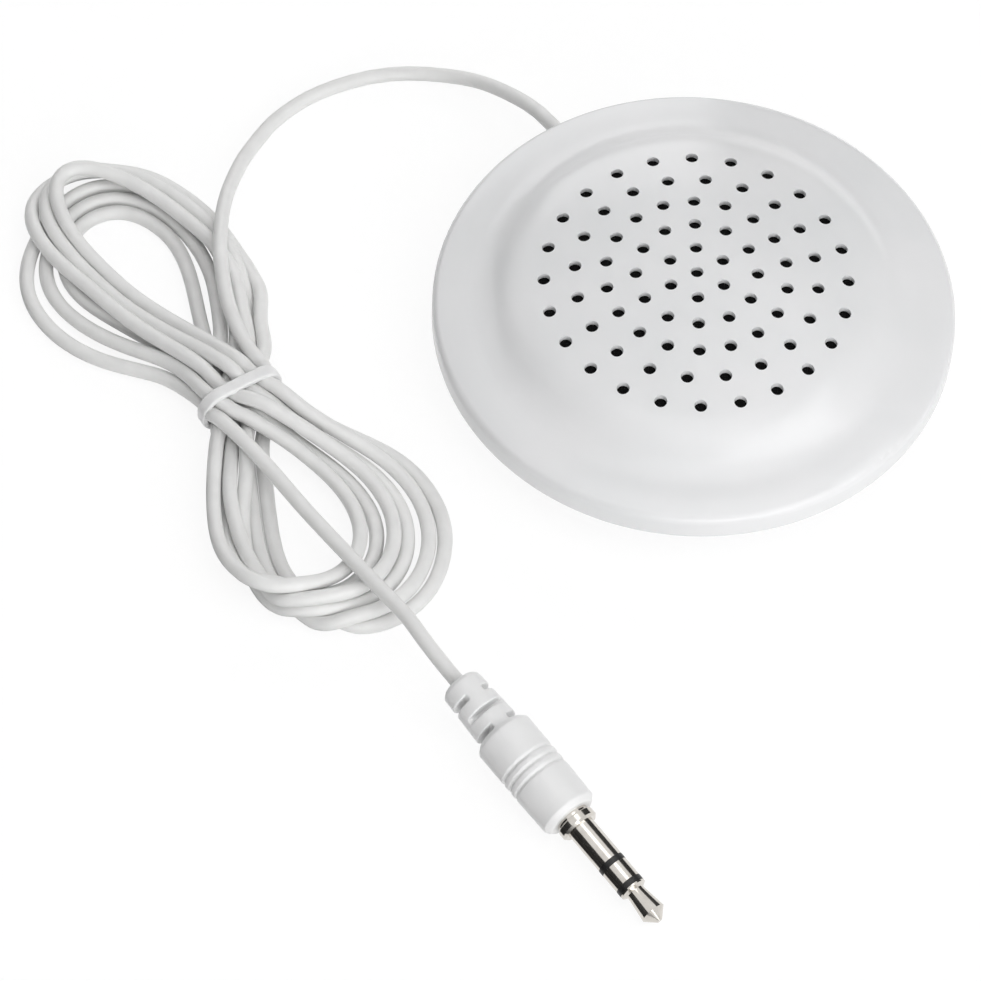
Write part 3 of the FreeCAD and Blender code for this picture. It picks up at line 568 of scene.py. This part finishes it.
# %% [markdown]
# ## Plug contacts: nickel plate on turned brass
#
# Audio contacts are turned from brass rod and nickel plated. Nickel is slightly warm beside
# chrome. The lathe leaves rings finer than 0.05 mm round the axis, drawn here at 0.12 mm.
# The pattern is turned so that its X runs along the plug, and only X is kept, which makes
# rings of any pattern.

# %% Plug contacts: nickel plate on turned brass
PLUG_HEADING = math.radians(-51.7)
PLUG_LEAN = math.radians(7.386)


def along_plug(tree, place):
    """Coordinate along the plug's axis alone."""
    level = add(tree, "Mapping", {"Rotation": (0, 0, -PLUG_HEADING)},
                {"Vector": (place, "Object")})
    return add(tree, "Mapping", {"Rotation": (0, -PLUG_LEAN, 0), "Scale": (1, 0, 0)},
               {"Vector": (level, "Vector")})


nickel, tree, shader, place = begin("nickel_plated_brass", Metallic=1.0)
axial = along_plug(tree, place)
rings = add(tree, "TexNoise", {"Scale": per(0.12), "Detail": 2.0}, {"Vector": (axial, "Vector")})
wear = add(tree, "TexNoise", {"Scale": per(1.8), "Detail": 3.0}, {"Vector": (place, "Object")})
tint(tree, shader, wear, "Fac", "#cdc8c1", "#dcd8d2")
polish(tree, shader, wear, "Fac", 0.09, 0.17)
relief(tree, shader, rings, "Fac", 0.004, 0.5)
for name in ("jack_sleeve", "jack_ring", "jack_tip"):
    dress(name, nickel)

# %% [markdown]
# ## Insulators: black nylon
#
# The two bands between the contacts are moulded nylon, dull black with a trace of grey dust
# all over, in a fine noise.

# %% Insulators: black nylon
nylon, tree, shader, place = begin("moulded_black_nylon", IOR=1.53)
dust = add(tree, "TexNoise", {"Scale": per(0.5), "Detail": 3.0}, {"Vector": (place, "Object")})
tint(tree, shader, dust, "Fac", "#101010", "#1f1f1f")
polish(tree, shader, dust, "Fac", 0.38, 0.55)
relief(tree, shader, dust, "Fac", 0.01, 0.5)
for name in ("jack_insulator_rear", "jack_insulator_front"):
    dress(name, nylon)

# %% [markdown]
# ## Dust screen: black woven cloth
#
# A thin black cloth lies under the grille and shows through the holes. Its threads are
# about 0.1 mm apart, which is too fine for this picture, so they are drawn at 0.3 mm: two
# sets of bands crossing. Their colour is painted light and shade: dark grey on the thread
# tops, where light falls, and nearly black in the gaps between, where shade falls.

# %% Dust screen: black woven cloth
cloth, tree, shader, place = begin("woven_polyester_black", Specular_IOR_Level=0.15)
bands = []
for direction in ("X", "Y"):
    bands.append(add(
        tree, "TexWave", {"Scale": per_band(0.3), "Distortion": 0.4},
        {"Vector": (place, "Object")}, bands_direction=direction, wave_profile="SIN"))
weave_and_painted_shade = add(tree, "Math", links={0: (bands[0], "Fac"), 1: (bands[1], "Fac")},
            operation="MULTIPLY")
# Painted light on the thread tops, painted shade in the gaps between the threads
tint(tree, shader, weave_and_painted_shade, "Value", "#020202", "#0e0e0e", 0.0, 1.0)
polish(tree, shader, weave_and_painted_shade, "Value", 0.9, 0.7)
relief(tree, shader, weave_and_painted_shade, "Value", 0.06)
dress("dust_screen", cloth)

# %% [markdown]
# ## Foam: gasket and damping pad
#
# The gasket is fine closed-cell foam tape and the pad is open foam. Both are dull dark
# grey with cells, 0.4 mm in the tape and 0.9 mm in the pad. Each cell is painted darker
# towards its middle, which is painted shade in the cell's hollow.

# %% Foam: gasket and damping pad
for name, cell, low, high in (
        ("driver_gasket", 0.4, "#101011", "#232325"), ("damping_pad", 0.9, "#1b1b1c", "#3a3a3c")):
    foam, tree, shader, place = begin(name + "_foam", Roughness=0.95)
    cells_and_painted_shade = add(tree, "TexVoronoi", {"Scale": per(cell)}, {"Vector": (place, "Object")})
    # Painted shade: each cell darker towards its hollow middle
    tint(tree, shader, cells_and_painted_shade, "Distance", low, high, 0.0, 0.8)
    relief(tree, shader, cells_and_painted_shade, "Distance", 0.15, 0.8)
    dress(name, foam)

# %% [markdown]
# ## Driver: film
#
# The cone of a small driver is thin formed film, smoky grey with a soft gloss.

# %% Driver: film
film, tree, shader, place = begin("formed_film_grey", IOR=1.58)
haze = add(tree, "TexNoise", {"Scale": per(4), "Detail": 2.0}, {"Vector": (place, "Object")})
tint(tree, shader, haze, "Fac", "#b4b6b8", "#c8cacc")
polish(tree, shader, haze, "Fac", 0.22, 0.34)
relief(tree, shader, haze, "Fac", 0.02, 0.4)
dress("diaphragm", film)

# %% [markdown]
# ## Driver: painted basket
#
# The basket is pressed steel with black paint that pebbles slightly.

# %% Driver: painted basket
paint, tree, shader, place = begin("black_painted_steel", IOR=1.5)
pebble = add(tree, "TexNoise", {"Scale": per(0.6), "Detail": 2.0}, {"Vector": (place, "Object")})
tint(tree, shader, pebble, "Fac", "#17171a", "#222225")
polish(tree, shader, pebble, "Fac", 0.3, 0.45)
relief(tree, shader, pebble, "Fac", 0.03, 0.6)
dress("driver_basket", paint)

# %% [markdown]
# ## Driver: plated steel, and the screws
#
# Yoke, plate and screws are zinc plated, which leaves a fine crystal pattern, and the magnet
# is nickel plated.

# %% Driver: plated steel, and the screws
for name, low, high, size, rough in (
        ("yoke", "#a3a5a8", "#bfc1c3", 0.8, (0.28, 0.42)),
        ("pole_plate", "#a3a5a8", "#bfc1c3", 0.8, (0.28, 0.42)),
        ("magnet", "#b9b7b2", "#cfcdc8", 2.5, (0.12, 0.22)),
        ("case_screws", "#a9adb3", "#c6c9cd", 0.5, (0.22, 0.38))):
    plate, tree, shader, place = begin(name + "_plated_steel", Metallic=1.0)
    crystal = add(tree, "TexVoronoi", {"Scale": per(size)}, {"Vector": (place, "Object")})
    tint(tree, shader, crystal, "Distance", low, high, 0.0, 0.8)
    polish(tree, shader, crystal, "Distance", *rough)
    relief(tree, shader, crystal, "Distance", 0.006, 0.4)
    dress(name, plate)

# %% [markdown]
# ## Driver: enamelled copper winding
#
# The coil is enamelled wire, whose turns show as fine bands 0.15 mm high, drawn at 0.25 mm.
# The bands are painted shade in the grooves between the turns and painted light on their tops.

# %% Driver: enamelled copper winding
winding, tree, shader, place = begin("enamelled_copper_wire", Metallic=1.0, Coat_Weight=0.6)
coil_bands_and_painted_shade = add(tree, "TexWave", {"Scale": per_band(0.25)}, {"Vector": (place, "Object")},
            bands_direction="Z", wave_profile="SIN")
# Painted shade in the grooves between the turns, painted light on the turn tops
tint(tree, shader, coil_bands_and_painted_shade, "Fac", "#8a4a26", "#c9794a", 0.1, 0.9)
polish(tree, shader, coil_bands_and_painted_shade, "Fac", 0.45, 0.25)
relief(tree, shader, coil_bands_and_painted_shade, "Fac", 0.05)
dress("voice_coil", winding)

# %% [markdown]
# ## Terminal board, solder and wires
#
# The board is brown phenolic laminate, whose paper shows as long faint fibres. Solder is
# bright where it flowed and dull where it cooled. The two inner wires have red and white
# PVC insulation.

# %% Terminal board, solder and wires
laminate, tree, shader, place = begin("phenolic_paper_laminate", IOR=1.6)
grain_way = add(tree, "Mapping", {"Scale": (1, 6, 1)}, {"Vector": (place, "Object")})
fibre = add(tree, "TexNoise", {"Scale": per(1.6), "Detail": 4.0},
            {"Vector": (grain_way, "Vector")})
tint(tree, shader, fibre, "Fac", "#7d5429", "#a5763f")
polish(tree, shader, fibre, "Fac", 0.35, 0.5)
relief(tree, shader, fibre, "Fac", 0.02, 0.5)
dress("terminal_board", laminate)

solder, tree, shader, place = begin("tin_solder", Metallic=1.0)
frost = add(tree, "TexNoise", {"Scale": per(0.5), "Detail": 3.0}, {"Vector": (place, "Object")})
tint(tree, shader, frost, "Fac", "#b4b6b8", "#dadbdc")
polish(tree, shader, frost, "Fac", 0.2, 0.5)
relief(tree, shader, frost, "Fac", 0.02, 0.5)
dress("solder_joints", solder)

for name, low, high in (
        ("lead_wire_signal", "#a3211d", "#b93029"), ("lead_wire_ground", "#dcdcd9", "#ecece9")):
    jacket, tree, shader, place = begin(name + "_pvc", IOR=1.52)
    skin = add(tree, "TexNoise", {"Scale": per(0.9), "Detail": 2.0}, {"Vector": (place, "Object")})
    tint(tree, shader, skin, "Fac", low, high)
    polish(tree, shader, skin, "Fac", 0.35, 0.5)
    relief(tree, shader, skin, "Fac", 0.01, 0.4)
    dress(name, jacket)
print("materials:", len(bpy.data.materials))

# %% [markdown]
# ## Table and backdrop
#
# The photograph's ground is pure white with next to no shadow. A sheet of white card does
# this: it lies flat and turns up into a low wall, far off all round.

# %% Table and backdrop
SWEEP_RADIUS = 3.0                  # metres
SWEEP_HEIGHT = 1.0
bpy.ops.object.select_all(action="DESELECT")
bpy.ops.mesh.primitive_circle_add(
    vertices=96, radius=SWEEP_RADIUS, fill_type="NGON", location=(0, 0, 0))
sweep = bpy.context.object
sweep.name = "white_sweep"
bpy.ops.object.mode_set(mode="EDIT")
bpy.ops.mesh.select_mode(type="EDGE")
bpy.ops.mesh.select_all(action="DESELECT")
bpy.ops.mesh.select_non_manifold()
bpy.ops.mesh.extrude_region_move(TRANSFORM_OT_translate={"value": (0, 0, SWEEP_HEIGHT)})
bpy.ops.object.mode_set(mode="OBJECT")
print("sweep faces:", len(sweep.data.polygons))

# %% [markdown]
# ## White card
#
# To the camera and in reflections the card is mostly its own even white, with a small part
# that takes the light and so keeps the shadow. To all other light it is plain white card,
# which throws soft light up under the cord and the plug.

# %% White card
GLOW = 0.88                         # even white that the camera sees whatever the light
CARD_SHARE = 0.16                   # part of the card that takes the light for the camera

card = bpy.data.materials.new("white_card")
card.use_nodes = True
tree = card.node_tree
tree.nodes.remove(tree.nodes["Principled BSDF"])
paper = add(tree, "BsdfDiffuse", {"Color": colour("#f4f4f4")})
rays = add(tree, "LightPath")
seen = add(tree, "Math", links={0: (rays, "Is Camera Ray"), 1: (rays, "Is Glossy Ray")},
           operation="MAXIMUM")
seen = add(tree, "Math", links={0: (seen, "Value"), 1: (rays, "Is Transmission Ray")},
           operation="MAXIMUM")
glow = add(tree, "Emission", {"Color": (1, 1, 1, 1), "Strength": GLOW})
lit = add(tree, "BsdfDiffuse", {"Color": (CARD_SHARE, CARD_SHARE, CARD_SHARE, 1)})
shown = add(tree, "AddShader", links={0: (glow, "Emission"), 1: (lit, "BSDF")})
either = add(tree, "MixShader", links={
    0: (seen, "Value"), 1: (paper, "BSDF"), 2: (shown, "Shader")})
tree.links.new(either.outputs["Shader"], tree.nodes["Material Output"].inputs["Surface"])
sweep.data.materials.append(card)

# %% [markdown]
# ## Light
#
# The picture has an even, soft light that comes mostly from the front and the right. A wide
# box low in front brightens the near rim, and one at the right the right-hand rim. A box
# overhead lights the level grille, one behind the far edge, and a small one at the left
# keeps that side the darkest. A dim grey room fills the rest. Together they light a level
# white surface to the grey of the photograph, so no white is clipped.

# %% Light
ROOM = 0.31                         # brightness of the grey room
room = bpy.data.worlds.new("grey_room")
bpy.context.scene.world = room
room.use_nodes = True
air = room.node_tree.nodes["Background"]
air.inputs["Color"].default_value = (1, 1, 1, 1)
air.inputs["Strength"].default_value = ROOM


def softbox(name, place, aim, width, depth, radiance):
    """Rectangular soft box, in metres, whose face has the given brightness."""
    light = bpy.data.lights.new(name, "AREA")
    light.shape = "RECTANGLE"
    light.size = width
    light.size_y = depth
    light.energy = radiance * math.pi * width * depth
    lamp = bpy.data.objects.new(name, light)
    lamp.location = place
    lamp.rotation_euler = (Vector(aim) - Vector(place)).to_track_quat("-Z", "Y").to_euler()
    bpy.context.scene.collection.objects.link(lamp)


softbox("right_softbox", (0.5, -0.32, 0.5), (0, 0, 0), 0.7, 0.7, 1.55)
softbox("top_softbox", (0.025, -0.165, 0.8), (0.025, -0.165, 0), 0.45, 0.57, 1.0)
softbox("front_softbox", (0.1, -0.75, 0.24), (0, 0, 0), 0.9, 0.3, 3.2)
softbox("back_softbox", (0.1, 0.8, 0.36), (0, 0, 0), 1.0, 0.45, 1.9)
softbox("left_softbox", (-0.48, 0.46, 0.46), (0, 0, 0), 0.42, 0.36, 0.9)
bpy.context.scene.view_settings.view_transform = "Standard"

# %% [markdown]
# ## Dark cards for the metal
#
# Polished metal shows only what stands round it. A photographer sets black cards beside
# it, so that dark streaks give it its shape. Two cards stand along the plug, one on each
# side, and a third lies on the table at the left, which widens the streak there. They are
# seen by reflections alone, so they neither shade the part nor hide it.

# %% Dark cards for the metal
CARD_LENGTH = 500                   # millimetres, along the plug
black_card = bpy.data.materials.new("black_card")
black_card.use_nodes = True
black = black_card.node_tree.nodes["Principled BSDF"]
black.inputs["Base Color"].default_value = colour("#0d0d0d")
PLUG_MIDDLE = Vector((-18.0, -71.0, 0.0))
BESIDE = Vector((-math.sin(PLUG_HEADING), math.cos(PLUG_HEADING), 0))


def dark_card(name, aside, height, lean, depth):
    """Black card along the plug, its middle that far beside and above it."""
    middle = PLUG_MIDDLE + BESIDE * aside
    middle.z = height
    bpy.ops.object.select_all(action="DESELECT")
    bpy.ops.mesh.primitive_plane_add(size=1.0, location=middle * MM)
    panel = bpy.context.object
    panel.name = name
    panel.rotation_euler = (lean, 0, PLUG_HEADING)
    panel.scale = (CARD_LENGTH * MM, depth * MM, 1)
    panel.visible_camera = False
    panel.visible_diffuse = False
    panel.visible_shadow = False
    panel.visible_transmission = False
    panel.data.materials.append(black_card)


# Name, distance beside the plug, height of the middle, lean, and depth, in millimetres
dark_card("card_right", 260, 160, math.pi / 2, 280)
dark_card("card_left", -260, 105, math.pi / 2, 210)
dark_card("card_table", -132.5, 0.05, 0, 255)

# %% [markdown]
# ## Last update
#
# The last cell brings the view layer up to date.

# %% Update the view layer
bpy.context.view_layer.update()
